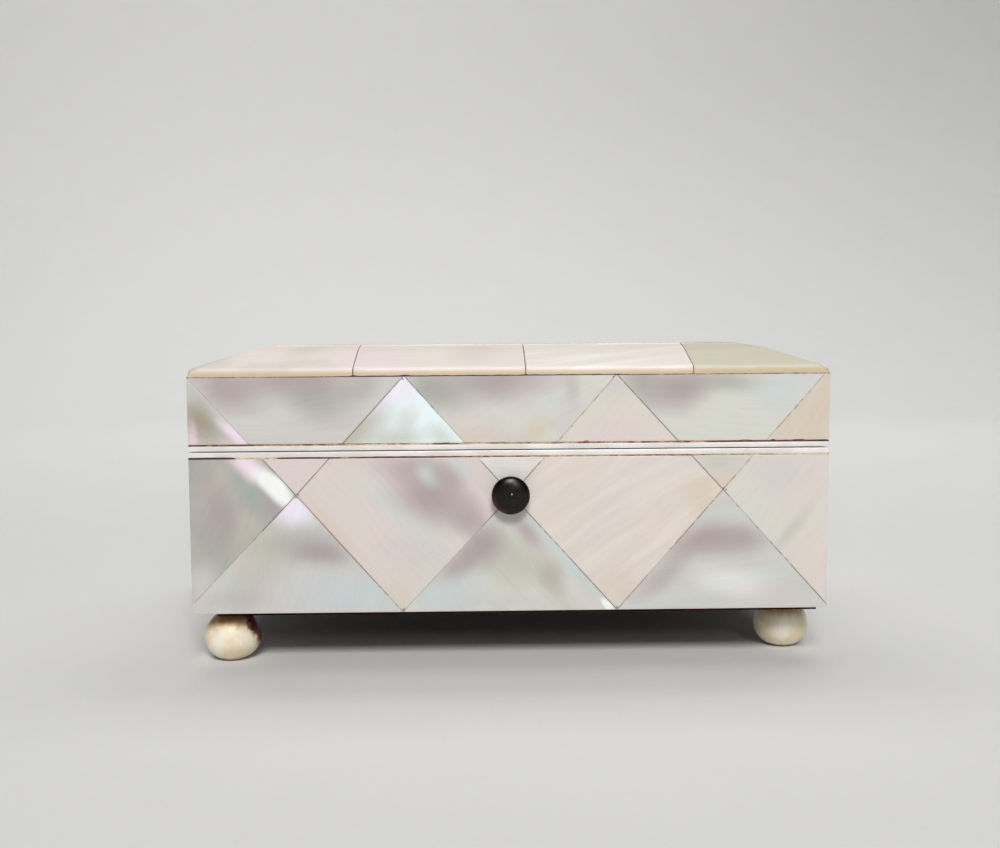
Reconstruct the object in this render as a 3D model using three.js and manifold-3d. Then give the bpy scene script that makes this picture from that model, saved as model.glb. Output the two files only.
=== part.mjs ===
// A mother-of-pearl needle case: a small wooden box veneered with pearl tiles, on four ball feet,
// with a bevelled lid that lifts off over a lip, white metal edging where lid and base meet,
// and a black turned knob on the front.
//
// Millimetres, +Z up, the front faces -Y. The origin is on the table, under the middle of the whole.

import * as THREE from "three";
import { mergeVertices } from "three/addons/utils/BufferGeometryUtils.js";
import Module from "manifold-3d";

const wasm = await Module();
wasm.setup();

// Outer size of the box, over the pearl
const boxLength = 84;
const boxDepth = 56;

// Heights, from the table up
const footHeight = 6.7;
const boardReveal = 0.5; // how far the bottom board shows under the pearl
const basePearlHeight = 20.7;
const lidPearlHeight = 9.05;
const lidRise = 4.05; // from the lid's edge to its flat top

// Pearl tiles
const pearlThickness = 1.0;
const pearlJoint = 0.16; // between two tiles
const pearlBacking = 0.4; // what joins the tiles of the sides and of the back
const latticeSquare = 28; // width of one square of the diamond lattice
const cornerWear = 0.6; // off the front's lower left corner
const glueLine = 0.1; // behind the tiles and between the boards
const edgingGlue = 0.25; // between the tiles and the white metal

// How far the front's joints stray from an even lattice, across and up, from left to right
const frontStray = {
  top: [[0, 0], [0.2, 0], [0, 0], [-0.5, 0]],
  middle: [[-0.1, 0.05], [0.15, -0.15], [0.05, 0.3]],
  bottom: [[0, 1.2], [-0.3, 0], [0.05, 0], [0, 0.4]],
};

// Wood
const wallThickness = 2.4;
const bottomThickness = 1.8;
const bottomInset = 1.1; // of the bottom board from the box's faces
const bottomLeftInset = 3.0; // the board is short on this side
const lidBoardThickness = 1.8; // at the lid's edge
const lipThickness = 1.1;
const lipHeight = 2.0; // above the base's edging
const lidClearance = 0.15; // between the lip and the lid

// White metal edging
const edgingThickness = 0.65;
const lidSeam = 0.15; // between the two edgings

// Bevel round the lid's top
const bevelWidth = 8.9;
const bevelEdgeHeight = 1.1; // of the bevel's line at the lid's face
const bevelEdgeRound = 0.55;
const bevelCrestRound = 1.6;
const borderWidth = 9.9; // of the tiles along the bevel
const frontSeams = [-20.4, 2.1, 24.05]; // joints of the front border, from the middle
const sideBorderTiles = 2;
const centreColumns = 3;
const centreRows = 2;

// Ball feet
const ballRadius = 3.78;
const ballCentreHeight = 2.95;
const footSoleRadius = 1.5; // of the worn flat that it stands on
const footTopRadius = 1.0; // of the flat that is glued on

// Where each foot stands: how far the ball stays inside the box's side, and inside its front or back
const feet = [
  { name: "foot_front_left", side: -1, end: -1, fromSide: 0.37, fromEnd: 1.2 },
  { name: "foot_front_right", side: 1, end: -1, fromSide: 0.02, fromEnd: 5.0 },
  { name: "foot_back_left", side: -1, end: 1, fromSide: 0.6, fromEnd: 1.7 },
  { name: "foot_back_right", side: 1, end: 1, fromSide: 0.6, fromEnd: 1.7 },
];

// Knob
const knobRadius = 2.5;
const knobNeckRadius = 1.4;
const knobNeckLength = 0.8;
const knobUnderside = 0.45; // how far the underside of the head slopes
const knobRim = 0.35; // height of the head's edge
const knobCrown = 0.8; // height of the head's domed face
const knobPipRadius = 0.3;
const knobPipHeight = 0.2;

const turnedSides = 28;
const turnedSteps = 7; // along each curve of a turned piece

// Sizes that follow
const halfLength = boxLength / 2;
const halfDepth = boxDepth / 2;
const pearlBack = pearlThickness + glueLine; // from the box's face to the wood
const wallInner = pearlBack + wallThickness;
const lipOuter = wallInner - lipThickness;
const lidInner = lipOuter - lidClearance;

const boardTop = footHeight + bottomThickness;
const pearlBottom = footHeight + boardReveal;
const baseRim = pearlBottom + basePearlHeight;
const edgingTop = baseRim + edgingThickness;
const lidBottom = edgingTop + lidSeam;
const lidRim = lidBottom + edgingThickness;
const lidEdge = lidRim + lidPearlHeight;
const faceHeight = lidEdge - pearlBottom;
const faceMiddle = pearlBottom + faceHeight / 2;
const lipTop = edgingTop + lipHeight;
const lidCeiling = lidEdge - lidBoardThickness;
const knobStandOff = knobNeckLength + knobUnderside + knobRim + knobCrown + knobPipHeight;

const pearl = new THREE.MeshStandardMaterial({ color: 0xd9d3cb, roughness: 0.22, metalness: 0.05 });
const pearlCream = new THREE.MeshStandardMaterial({ color: 0xe2d6bf, roughness: 0.25, metalness: 0.05 });
const wood = new THREE.MeshStandardMaterial({ color: 0x4a2a1a, roughness: 0.6 });
const whiteMetal = new THREE.MeshStandardMaterial({ color: 0xcfcbc4, roughness: 0.28, metalness: 0.9 });
const bone = new THREE.MeshStandardMaterial({ color: 0xd8cbb0, roughness: 0.45 });
const ebony = new THREE.MeshStandardMaterial({ color: 0x17130f, roughness: 0.4 });

// Solids and geometries

function solidOf(geometry) {
  const bare = geometry.clone();
  bare.deleteAttribute("normal");
  bare.deleteAttribute("uv");
  const merged = mergeVertices(bare, 1e-4);
  const mesh = new wasm.Mesh({
    numProp: 3,
    vertProperties: merged.attributes.position.array,
    triVerts: new Uint32Array(merged.index.array),
  });
  return new wasm.Manifold(mesh);
}

function geometryOf(solid) {
  const mesh = solid.getMesh();
  const geometry = new THREE.BufferGeometry();
  geometry.setAttribute("position", new THREE.BufferAttribute(mesh.vertProperties, 3));
  geometry.setIndex(new THREE.BufferAttribute(mesh.triVerts, 1));
  geometry.computeVertexNormals();
  return geometry;
}

function extruded(points, depth) {
  const outline = new THREE.Shape(points.map(([x, y]) => new THREE.Vector2(x, y)));
  return new THREE.ExtrudeGeometry(outline, { depth, bevelEnabled: false });
}

// A board between two corners
function board([x0, y0, z0], [x1, y1, z1]) {
  const geometry = new THREE.BoxGeometry(x1 - x0, y1 - y0, z1 - z0);
  return geometry.translate((x0 + x1) / 2, (y0 + y1) / 2, (z0 + z1) / 2);
}

function mesh(name, geometry, material) {
  const made = new THREE.Mesh(geometry, material);
  made.name = name;
  return made;
}

// Tile outlines: convex polygons whose corners run anticlockwise

// What is left of a polygon on the left of the line from a to b, and at least inset away from it
function cutAlong(polygon, a, b, inset) {
  const span = Math.hypot(b[0] - a[0], b[1] - a[1]);
  const away = ([x, y]) => ((b[0] - a[0]) * (y - a[1]) - (b[1] - a[1]) * (x - a[0])) / span - inset;
  const kept = [];
  polygon.forEach((corner, i) => {
    const next = polygon[(i + 1) % polygon.length];
    const here = away(corner);
    const there = away(next);
    if (here >= 0) kept.push(corner);
    if ((here >= 0) !== (there >= 0)) {
      const share = here / (here - there);
      kept.push([corner[0] + share * (next[0] - corner[0]), corner[1] + share * (next[1] - corner[1])]);
    }
  });
  return kept;
}

function rectangle(x0, y0, x1, y1) {
  return [[x0, y0], [x1, y0], [x1, y1], [x0, y1]];
}

// The part of a cell that lies in a field, with half a joint taken off each of the cell's edges
function tileOutline(field, cell) {
  return cell.reduce((left, corner, i) => {
    const next = cell[(i + 1) % cell.length];
    return left.length ? cutAlong(left, corner, next, pearlJoint / 2) : left;
  }, field);
}

// The nodes of one face's lattice, across from the face's middle and up from the table. Each square
// has a node at its four corners and one in its middle.
function latticeNodes(faceWidth, stray = {}) {
  const squares = Math.max(1, Math.round(faceWidth / latticeSquare));
  const step = faceWidth / squares;
  const row = (count, start, height, strays = []) =>
    Array.from({ length: count }, (_, i) => {
      const [across, up] = strays[i] ?? [0, 0];
      return [start + i * step + across, height + up];
    });
  return {
    top: row(squares + 1, -faceWidth / 2, lidEdge, stray.top),
    middle: row(squares, (step - faceWidth) / 2, faceMiddle, stray.middle),
    bottom: row(squares + 1, -faceWidth / 2, pearlBottom, stray.bottom),
  };
}

// The cells between the lattice's diagonals: diamonds from top to bottom, and triangles between them.
// Lines that leave the face are carried on past its edges.
function latticeCells(faceWidth, stray) {
  const { top, middle, bottom } = latticeNodes(faceWidth, stray);
  const carry = 1.5;
  const past = (from, to) => [0, 1].map((axis) => from[axis] + carry * (to[axis] - from[axis]));
  const outside = (side) => [lidEdge + faceHeight, pearlBottom - faceHeight].map((z) => [side * faceWidth, z]);
  const last = middle.length;
  const cells = [];
  for (let i = 0; i <= last; i++) {
    const before = middle[i - 1];
    const after = middle[i];
    if (i === 0) {
      cells.push([...outside(-1), past(after, bottom[0]), after, past(after, top[0])]);
    } else if (i === last) {
      cells.push([...outside(1).reverse(), past(before, top[last]), before, past(before, bottom[last])]);
    } else {
      cells.push([before, bottom[i], after, top[i]]);
    }
    if (i === last) break;
    cells.push([after, past(after, top[i + 1]), past(after, top[i])]);
    cells.push([after, past(after, bottom[i]), past(after, bottom[i + 1])]);
  }
  return cells;
}

const baseBand = [pearlBottom, baseRim - edgingGlue];
const lidBand = [lidRim + edgingGlue, lidEdge - glueLine];

// The outlines of a face's tiles inside a field
function faceOutlines(faceWidth, field, stray) {
  return latticeCells(faceWidth, stray)
    .map((cell) => tileOutline(field, cell))
    .filter((outline) => outline.length > 2);
}

// A plate with its outer face on y = 0, reaching inwards to y = thickness
function standingPlate(outline, thickness) {
  return extruded(outline, thickness).rotateX(Math.PI / 2).translate(0, thickness, 0);
}

// Faces

// Each tile on its own
function tiledBand(name, faceWidth, field) {
  return faceOutlines(faceWidth, field, frontStray).map((outline, i) =>
    mesh(`${name}_${i + 1}`, standingPlate(outline, pearlThickness), pearl),
  );
}

// The tiles joined by a thin backing, as one piece. They stop short of both ends by trim.
function joinedBand(name, faceWidth, trim, [bottom, top]) {
  const field = rectangle(-faceWidth / 2 + trim, bottom, faceWidth / 2 - trim, top);
  const backing = standingPlate(field, pearlBacking).translate(0, pearlThickness - pearlBacking, 0);
  const joined = faceOutlines(faceWidth, field).reduce(
    (made, outline) => made.add(solidOf(standingPlate(outline, pearlThickness))),
    solidOf(backing),
  );
  return mesh(name, geometryOf(joined), pearl);
}

function frontFace() {
  const [left, right] = [-halfLength, halfLength];
  const [bottom, top] = baseBand;
  const cornerCut = 0.3 * cornerWear;
  const baseField = [
    [left, bottom + cornerWear],
    [left + cornerCut, bottom + cornerCut],
    [left + cornerWear, bottom],
    ...rectangle(left, bottom, right, top).slice(1),
  ];
  const lidField = rectangle(left, lidBand[0], right, lidBand[1]);
  const face = new THREE.Group();
  face.add(...tiledBand("front_base_pearl", boxLength, baseField));
  face.add(...tiledBand("front_lid_pearl", boxLength, lidField));
  face.position.y = -halfDepth;
  return face;
}

function joinedFace(name, faceWidth, trim, turn, x, y) {
  const face = new THREE.Group();
  face.add(joinedBand(`${name}_base_pearl`, faceWidth, trim, baseBand));
  face.add(joinedBand(`${name}_lid_pearl`, faceWidth, trim, lidBand));
  face.rotation.z = turn;
  face.position.set(x, y, 0);
  return face;
}

// The lid's top

const bevelSlope = (lidRise - bevelEdgeHeight) / bevelWidth;

// Half of the lid's section: its outer line, inwards from the face and up from the lid's edge
function skinLine() {
  const line = new THREE.Path();
  const roundEnd = 2 * bevelEdgeRound;
  line.moveTo(0, 0);
  line.lineTo(0, bevelEdgeHeight - bevelEdgeRound);
  line.quadraticCurveTo(0, bevelEdgeHeight, roundEnd, bevelEdgeHeight + bevelSlope * roundEnd);
  line.lineTo(bevelWidth - bevelCrestRound, lidRise - bevelSlope * bevelCrestRound);
  line.quadraticCurveTo(bevelWidth, lidRise, bevelWidth + bevelCrestRound, lidRise);
  return line.getPoints(4).map((point) => [point.x, point.y]);
}

// The line under the tiles, lowered by drop, and carried down by depth at its outer end
function underLine(drop, depth) {
  return [
    [pearlBack, -depth],
    [pearlBack, -drop],
    [bevelWidth, lidRise - pearlThickness - drop],
  ];
}

// A solid with the same section along all four sides, meeting in hips at the corners
function hipped(halfSection) {
  const across = (half) => [
    ...halfSection.map(([inwards, up]) => [inwards - half, up]),
    ...halfSection.map(([inwards, up]) => [half - inwards, up]).reverse(),
  ].reverse();
  const lengthways = extruded(across(halfDepth), boxLength);
  const crossways = extruded(across(halfLength), boxDepth);
  lengthways.translate(0, 0, -halfLength).rotateX(Math.PI / 2).rotateZ(Math.PI / 2);
  crossways.translate(0, 0, -halfDepth).rotateX(Math.PI / 2);
  return solidOf(lengthways).intersect(solidOf(crossways));
}

// Even stops from -half to half
function evenStops(half, count) {
  return Array.from({ length: count + 1 }, (_, i) => half * ((2 * i) / count - 1));
}

// The plan outlines of the border's tiles, mitred at the corners, and of the tiles in the middle
function topCells() {
  const [outerX, outerY] = [halfLength, halfDepth];
  const [innerX, innerY] = [outerX - borderWidth, outerY - borderWidth];
  const front = [[-outerX, -outerY], [outerX, -outerY], [innerX, -innerY], [-innerX, -innerY]];
  const right = [[outerX, -outerY], [outerX, outerY], [innerX, innerY], [innerX, -innerY]];
  const opposite = (border) => border.map(([x, y]) => [-x, -y]);
  const across = (a, b) => rectangle(a, -outerY, b, outerY);
  const along = (a, b) => rectangle(-outerX, a, outerX, b);
  const frontStops = [-outerX, ...frontSeams, outerX];
  const backStops = frontStops.map((x) => -x).reverse();
  const sideStops = evenStops(outerY, sideBorderTiles);
  const cells = [];
  const slice = (name, border, stops, between) => {
    for (let i = 1; i < stops.length; i++) {
      const field = between(stops[i - 1], stops[i]);
      cells.push({ name: `${name}_${i}`, outline: tileOutline(tileOutline(field, border), field) });
    }
  };
  slice("lid_front_border_pearl", front, frontStops, across);
  slice("lid_back_border_pearl", opposite(front), backStops, across);
  slice("lid_left_border_pearl", opposite(right), sideStops, along);
  slice("lid_right_border_pearl", right, sideStops, along);
  const columns = evenStops(innerX, centreColumns);
  const rows = evenStops(innerY, centreRows);
  for (let row = 1; row <= centreRows; row++) {
    for (let column = 1; column <= centreColumns; column++) {
      const field = rectangle(columns[column - 1], rows[row - 1], columns[column], rows[row]);
      cells.push({ name: `lid_centre_pearl_${row}_${column}`, outline: tileOutline(field, field) });
    }
  }
  return cells;
}

function lidTop() {
  const top = new THREE.Group();
  const skin = hipped(skinLine()).subtract(hipped(underLine(0, pearlThickness)));
  for (const { name, outline } of topCells()) {
    const column = extruded(outline, 2 * lidRise + pearlThickness).translate(0, 0, -pearlThickness);
    top.add(mesh(name, geometryOf(skin.intersect(solidOf(column))), pearlCream));
  }
  top.add(mesh("lid_top_board", geometryOf(hipped(underLine(glueLine, lidBoardThickness))), wood));
  top.position.z = lidEdge;
  return top;
}

// Woodwork

// Four boards round a hollow: front and back over the whole length, the sides between them.
// outer and inner are how far in from the box's faces the boards start and end.
function fourBoards(name, outer, inner, bottom, top) {
  const xOut = halfLength - outer;
  const yOut = halfDepth - outer;
  const xIn = halfLength - inner;
  const yIn = halfDepth - inner;
  const ySide = yIn - glueLine;
  return {
    [`${name}_front_board`]: board([-xOut, -yOut, bottom], [xOut, -yIn, top]),
    [`${name}_back_board`]: board([-xOut, yIn, bottom], [xOut, yOut, top]),
    [`${name}_left_board`]: board([-xOut, -ySide, bottom], [-xIn, ySide, top]),
    [`${name}_right_board`]: board([xIn, -ySide, bottom], [xOut, ySide, top]),
  };
}

// The base's walls, each with its stretch of the lip that the lid fits over
function baseBoards() {
  const walls = fourBoards("base", pearlBack, wallInner, boardTop + glueLine, baseRim - glueLine);
  const lips = fourBoards("base", lipOuter, wallInner, boardTop + glueLine, lipTop);
  return Object.keys(walls).map((name) =>
    mesh(name, geometryOf(solidOf(walls[name]).add(solidOf(lips[name]))), wood),
  );
}

function lidBoards() {
  const walls = fourBoards("lid", pearlBack, lidInner, lidRim + glueLine, lidCeiling - glueLine);
  return Object.entries(walls).map(([name, geometry]) => mesh(name, geometry, wood));
}

function bottomBoard() {
  const y = halfDepth - bottomInset;
  const left = -halfLength + bottomLeftInset;
  return mesh("bottom_board", board([left, -y, footHeight], [halfLength - bottomInset, y, boardTop]), wood);
}

// Edging, knob and feet

function edging(name, bottom) {
  const frame = new THREE.Shape(
    rectangle(-halfLength, -halfDepth, halfLength, halfDepth).map(([x, y]) => new THREE.Vector2(x, y)),
  );
  const inX = halfLength - lidInner;
  const inY = halfDepth - lidInner;
  frame.holes.push(new THREE.Path(rectangle(-inX, -inY, inX, inY).map(([x, y]) => new THREE.Vector2(x, y))));
  const geometry = new THREE.ExtrudeGeometry(frame, { depth: edgingThickness, bevelEnabled: false });
  return mesh(name, geometry.translate(0, 0, bottom), whiteMetal);
}

// Turned about its own axis, which the lathe takes as Y
function turned(name, profile, material) {
  const points = profile.map(([radius, along]) => new THREE.Vector2(radius, along));
  return mesh(name, new THREE.LatheGeometry(points, turnedSides), material);
}

// A quarter of an oval, from [radius, 0] up to [innerRadius, height]
function quarterOval(radius, innerRadius, height) {
  const end = Math.acos(innerRadius / radius);
  return Array.from({ length: turnedSteps + 1 }, (_, i) => {
    const angle = (end * i) / turnedSteps;
    return [radius * Math.cos(angle), (height * Math.sin(angle)) / Math.sin(end)];
  });
}

function knob() {
  const rimStart = knobNeckLength + knobUnderside;
  const rimEnd = rimStart + knobRim;
  const profile = [
    [0, 0],
    [knobNeckRadius, 0],
    [knobNeckRadius, knobNeckLength],
    [knobRadius, rimStart],
    ...quarterOval(knobRadius, knobPipRadius, knobCrown).map(([radius, rise]) => [radius, rimEnd + rise]),
    [knobPipRadius / 2, knobStandOff],
    [0, knobStandOff],
  ];
  const made = turned("knob", profile, ebony);
  made.rotation.x = Math.PI;
  made.position.set(0, -halfDepth - glueLine, faceMiddle);
  return made;
}

// A ball, flat where it stands and where it is glued on
function footProfile() {
  const upper = quarterOval(ballRadius, footTopRadius, footHeight - glueLine - ballCentreHeight);
  const lower = quarterOval(ballRadius, footSoleRadius, ballCentreHeight);
  return [
    [0, 0],
    ...lower.reverse().map(([radius, rise]) => [radius, ballCentreHeight - rise]),
    ...upper.slice(1).map(([radius, rise]) => [radius, ballCentreHeight + rise]),
    [0, footHeight - glueLine],
  ];
}

function foot({ name, side, end, fromSide, fromEnd }) {
  const made = turned(name, footProfile(), bone);
  const x = halfLength - ballRadius - fromSide;
  const y = halfDepth - ballRadius - fromEnd;
  made.rotation.x = Math.PI / 2;
  made.position.set(side * x, end * y, 0);
  return made;
}

// The whole

const needleCase = new THREE.Group();
needleCase.add(frontFace());
needleCase.add(joinedFace("back", boxLength, 0, Math.PI, 0, halfDepth));
needleCase.add(joinedFace("left", boxDepth, pearlBack, -Math.PI / 2, -halfLength, 0));
needleCase.add(joinedFace("right", boxDepth, pearlBack, Math.PI / 2, halfLength, 0));
needleCase.add(bottomBoard(), ...baseBoards(), ...lidBoards(), lidTop());
needleCase.add(edging("base_edging", baseRim), edging("lid_edging", lidBottom));
needleCase.add(knob(), ...feet.map(foot));

// The knob stands out in front, so the box itself sits back by half of that
needleCase.position.y = (glueLine + knobStandOff) / 2;

export default needleCase;
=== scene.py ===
import math
import random

import bpy
import numpy as np
from mathutils import Matrix, Vector


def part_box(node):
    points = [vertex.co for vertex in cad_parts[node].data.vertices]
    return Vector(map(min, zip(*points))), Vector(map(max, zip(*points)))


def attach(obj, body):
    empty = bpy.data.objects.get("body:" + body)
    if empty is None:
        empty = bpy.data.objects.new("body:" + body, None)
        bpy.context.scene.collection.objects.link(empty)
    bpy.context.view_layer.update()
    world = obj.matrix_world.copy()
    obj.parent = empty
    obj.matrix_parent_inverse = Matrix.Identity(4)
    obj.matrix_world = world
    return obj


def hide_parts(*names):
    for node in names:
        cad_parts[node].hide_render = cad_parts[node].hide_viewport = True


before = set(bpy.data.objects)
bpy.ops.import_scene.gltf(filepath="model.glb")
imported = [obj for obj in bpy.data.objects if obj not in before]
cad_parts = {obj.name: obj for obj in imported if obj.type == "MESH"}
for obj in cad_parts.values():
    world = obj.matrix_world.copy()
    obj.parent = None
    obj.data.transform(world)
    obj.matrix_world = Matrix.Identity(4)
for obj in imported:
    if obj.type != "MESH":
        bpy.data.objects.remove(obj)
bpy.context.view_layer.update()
mm = 0.001

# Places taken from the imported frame, in millimetres

def boxOf(node):
    return [np.array(corner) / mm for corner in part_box(node)]


edgingLow, edgingHigh = boxOf("lid_edging")
baseEdgingLow, baseEdgingHigh = boxOf("base_edging")
leftX, frontY = edgingLow[:2]
rightX, backY = edgingHigh[:2]
middleY = (frontY + backY) / 2
lidEdge = boxOf("lid_front_border_pearl_1")[0][2]
lidFlat = boxOf("lid_centre_pearl_1_1")[1][2]
rowOf = {
    "base": (boxOf("front_base_pearl_3")[0][2], boxOf("front_base_pearl_1")[1][2]),
    "lid": [corner[2] for corner in boxOf("front_lid_pearl_1")],
}


def addObject(name, data):
    added = bpy.data.objects.new(name, data)
    bpy.context.scene.collection.objects.link(added)
    return added


# Camera, at the photograph's viewing angle

cameraLook = {
    "place": (-3.856, frontY - 146.04, lidEdge + 4.41),  # mm
    "turn": -1.0,  # degrees, to the right
    "down": 4.23,
    "tilt": -0.41,
    "lens": 40.32,
    "sensor": 36.0,
}


def makeCamera(look):
    camera = addObject("camera", bpy.data.cameras.new("camera"))
    camera.data.lens = look["lens"]
    camera.data.sensor_width = look["sensor"]
    camera.data.clip_start = 0.005
    turn = Matrix.Rotation(math.radians(look["turn"]), 4, "Z")
    down = Matrix.Rotation(math.radians(90 - look["down"]), 4, "X")
    tilt = Matrix.Rotation(math.radians(look["tilt"]), 4, "Z")
    camera.matrix_world = Matrix.Translation(Vector(look["place"]) * mm) @ turn @ down @ tilt
    bpy.context.scene.camera = camera


makeCamera(cameraLook)
print("camera in place")


# Shader maths

def linear(red, green, blue):
    # a colour as the eye reads it, 0 to 255, as light
    share = np.array([red, green, blue]) / 255
    light = np.where(share <= 0.04045, share / 12.92, ((share + 0.055) / 1.055) ** 2.4)
    return (*(float(part) for part in light), 1.0)


class Wire:
    # one socket of a shader, on which sums can be written
    def __init__(self, shader, socket):
        self.shader, self.socket = shader, socket

    def sum(self, operation, *parts):
        return self.shader.node("Math", {"operation": operation}, dict(enumerate(parts)))

    def __add__(self, other):
        return self.sum("ADD", self, other)

    def __sub__(self, other):
        return self.sum("SUBTRACT", self, other)

    def __mul__(self, other):
        return self.sum("MULTIPLY", self, other)

    __radd__ = __add__
    __rmul__ = __mul__

    def larger(self, other):
        return self.sum("MAXIMUM", self, other)

    def smaller(self, other):
        return self.sum("MINIMUM", self, other)


class Shader:
    # a material whose nodes are added as they are used
    def __init__(self, name):
        self.material = bpy.data.materials.new(name)
        self.material.use_nodes = True
        self.tree = self.material.node_tree
        self.tree.nodes.clear()

    def node(self, kind, settings=None, values=None, out=0):
        made = self.tree.nodes.new("ShaderNode" + kind)
        for name, value in (settings or {}).items():
            if name == "stops":
                ramp = made.color_ramp
                while len(ramp.elements) < len(value):
                    ramp.elements.new(0.5)
                for stop, (where, colour) in zip(ramp.elements, value):
                    stop.position, stop.color = where, colour
            else:
                setattr(made, name, value)
        for name, value in (values or {}).items():
            if isinstance(value, Wire):
                self.tree.links.new(value.socket, made.inputs[name])
            else:
                made.inputs[name].default_value = value
        return Wire(self, made.outputs[out])

    def place(self):
        # the piece's own coordinates, in millimetres
        here = self.node("TexCoord", out="Object")
        return self.scaled(here, 1 / mm)

    def scaled(self, vector, sizes):
        # by one size, or by one along each axis
        return self.vector("MULTIPLY", vector, sizes if isinstance(sizes, tuple) else (sizes,) * 3)

    def vector(self, operation, *parts, out=0):
        return self.node("VectorMath", {"operation": operation}, dict(enumerate(parts)), out)

    def axis(self, vector, direction):
        return self.vector("DOT_PRODUCT", vector, tuple(direction), out="Value")

    def noise(self, vector, scale, detail=3.0, rough=0.5, bend=0.0, out="Fac"):
        moved = self.scaled(vector, scale)
        values = {"Vector": moved, "Scale": 1.0, "Detail": detail, "Roughness": rough, "Distortion": bend}
        return self.node("TexNoise", values=values, out=out)

    def over(self, colour, tone, value, low, high, share=1.0):
        # a tone laid over a colour, more as a value goes from low to high
        return self.blend(self.ease(value, low, high, 0.0, share), colour, tone)

    def warped(self, vector, noise, reach):
        # moved by a coloured noise, evenly to either side
        sway = self.vector("SUBTRACT", noise, (0.5, 0.5, 0.5))
        return self.vector("ADD", vector, self.scaled(sway, reach))

    def ease(self, value, low, high, start=0.0, end=1.0):
        # from start at low to end at high, without a corner
        values = {"Value": value, "From Min": low, "From Max": high, "To Min": start, "To Max": end}
        return self.node("MapRange", {"interpolation_type": "SMOOTHSTEP"}, values)

    def blend(self, share, first, second, kind="MIX"):
        settings = {"data_type": "RGBA", "blend_type": kind, "clamp_factor": True}
        return self.node("Mix", settings, {0: share, 6: first, 7: second}, out=2)

    def bump(self, height, strength, distance):
        values = {"Height": height, "Strength": strength, "Distance": distance}
        return self.node("Bump", values=values)

    def finish(self, values):
        surface = self.node("BsdfPrincipled", values=values)
        output = self.tree.nodes.new("ShaderNodeOutputMaterial")
        self.tree.links.new(surface.socket, output.inputs["Surface"])
        return self.material


# Mesh making

def newPiece(name, places, faces, materials, replaced=(), faceMaterials=None, sharpAngle=35):
    # places in millimetres; faces that turn inwards are turned round by the sign of the volume they close
    fans = [face[:, [0, i, i + 1]] for face in faces for i in range(1, face.shape[1] - 1)]
    corners = np.concatenate(fans)
    a, b, c = (places[corners[:, i]] for i in range(3))
    if np.einsum("ij,ij->", a, np.cross(b, c)) < 0:
        faces = [face[:, ::-1] for face in faces]
    mesh = bpy.data.meshes.new(name)
    mesh.from_pydata(places * mm, [], [corner for face in faces for corner in face.tolist()])
    mesh.set_sharp_from_angle(angle=math.radians(sharpAngle))
    for material in materials:
        mesh.materials.append(material)
    if faceMaterials is not None:
        mesh.polygons.foreach_set("material_index", np.concatenate(faceMaterials).astype(np.int32))
    mesh.update()
    piece = addObject(name, mesh)
    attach(piece, "root")
    if replaced:
        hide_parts(*replaced)
    return piece


def addAttribute(piece, name, values):
    attribute = piece.data.attributes.new(name, "FLOAT", "POINT")
    attribute.data.foreach_set("value", np.ascontiguousarray(values, dtype=np.float32))


def numbered(rings):
    # the number of each point, and of the one after it on its ring
    grid = np.arange(rings[..., 0].size).reshape(rings.shape[:2])
    return grid, np.roll(grid, -1, axis=1)


def between(grid, after):
    # the faces from each ring to the next
    return np.stack([grid[:-1], after[:-1], after[1:], grid[1:]], -1).reshape(-1, 4)


def ringSkin(rings):
    # rings of points, one after another, with a point in the middle of the first and of the last
    places = np.concatenate([rings.reshape(-1, 3), rings[:1].mean(1), rings[-1:].mean(1)])
    grid, after = numbered(rings)
    ends = np.full((2, grid.shape[1]), [[grid.size], [grid.size + 1]])
    first = np.stack([ends[0], after[0], grid[0]], -1)
    last = np.stack([ends[1], grid[-1], after[-1]], -1)
    return places, [between(grid, after), first, last]


def loopSkin(rings):
    # rings of points along a path that comes back to its start
    grid, after = numbered(rings)
    quads = np.stack([grid, after, np.roll(after, -1, axis=0), np.roll(grid, -1, axis=0)], -1)
    return rings.reshape(-1, 3), [quads.reshape(-1, 4)]


def slabSkin(upper, lower):
    # two sheets of points that lie over each other, joined along their four borders
    count, size = upper.shape[:2]
    top = np.arange(count * size).reshape(count, size)
    sheet = np.stack([top[:-1, :-1], top[1:, :-1], top[1:, 1:], top[:-1, 1:]], -1).reshape(-1, 4)
    border = np.concatenate([top[0, :-1], top[:-1, -1], top[-1, :0:-1], top[:0:-1, 0]])
    below = border + count * size
    walls = np.stack([border, np.roll(border, -1), np.roll(below, -1), below], -1)
    places = np.concatenate([upper.reshape(-1, 3), lower.reshape(-1, 3)])
    return places, [sheet, sheet[:, ::-1] + count * size, walls]


def turnedRings(profile, centre, axis, sides=64):
    # a profile of (radius, distance along the axis) turned about the axis
    angle = np.arange(sides) * 2 * np.pi / sides
    axis = np.array(axis, float)
    across = np.array([1.0, 0.0, 0.0])
    up = np.cross(axis, across)
    circle = np.cos(angle)[:, None] * across + np.sin(angle)[:, None] * up
    radius, along = np.array(profile, float).T
    return np.array(centre) + radius[:, None, None] * circle + along[:, None, None] * axis


# Mother-of-pearl

tones = {name: linear(*levels) for name, levels in {
    "white": (247, 246, 246),
    "ice": (230, 247, 248),
    "lilac": (240, 232, 248),
    "rose": (240, 221, 234),
    "shell": (217, 208, 202),
    "silver": (204, 202, 198),
    "pale": (213, 212, 203),
    "mint": (206, 214, 208),
    "bright": (236, 226, 217),
    "blush": (233, 222, 218),
    "frost": (199, 209, 209),
    "cream": (219, 211, 200),
    "peach": (213, 198, 180),
    "khaki": (190, 187, 173),
    "olive": (163, 153, 134),
    "smoke": (170, 168, 162),
    "sage": (161, 171, 163),
    "mauve": (172, 160, 159),
    "umber": (162, 145, 132),
    "straw": (208, 203, 182),
    "tan": (206, 181, 146),
    "glue": (98, 62, 42),
    "paleGlue": (206, 188, 162),
}.items()}

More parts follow.
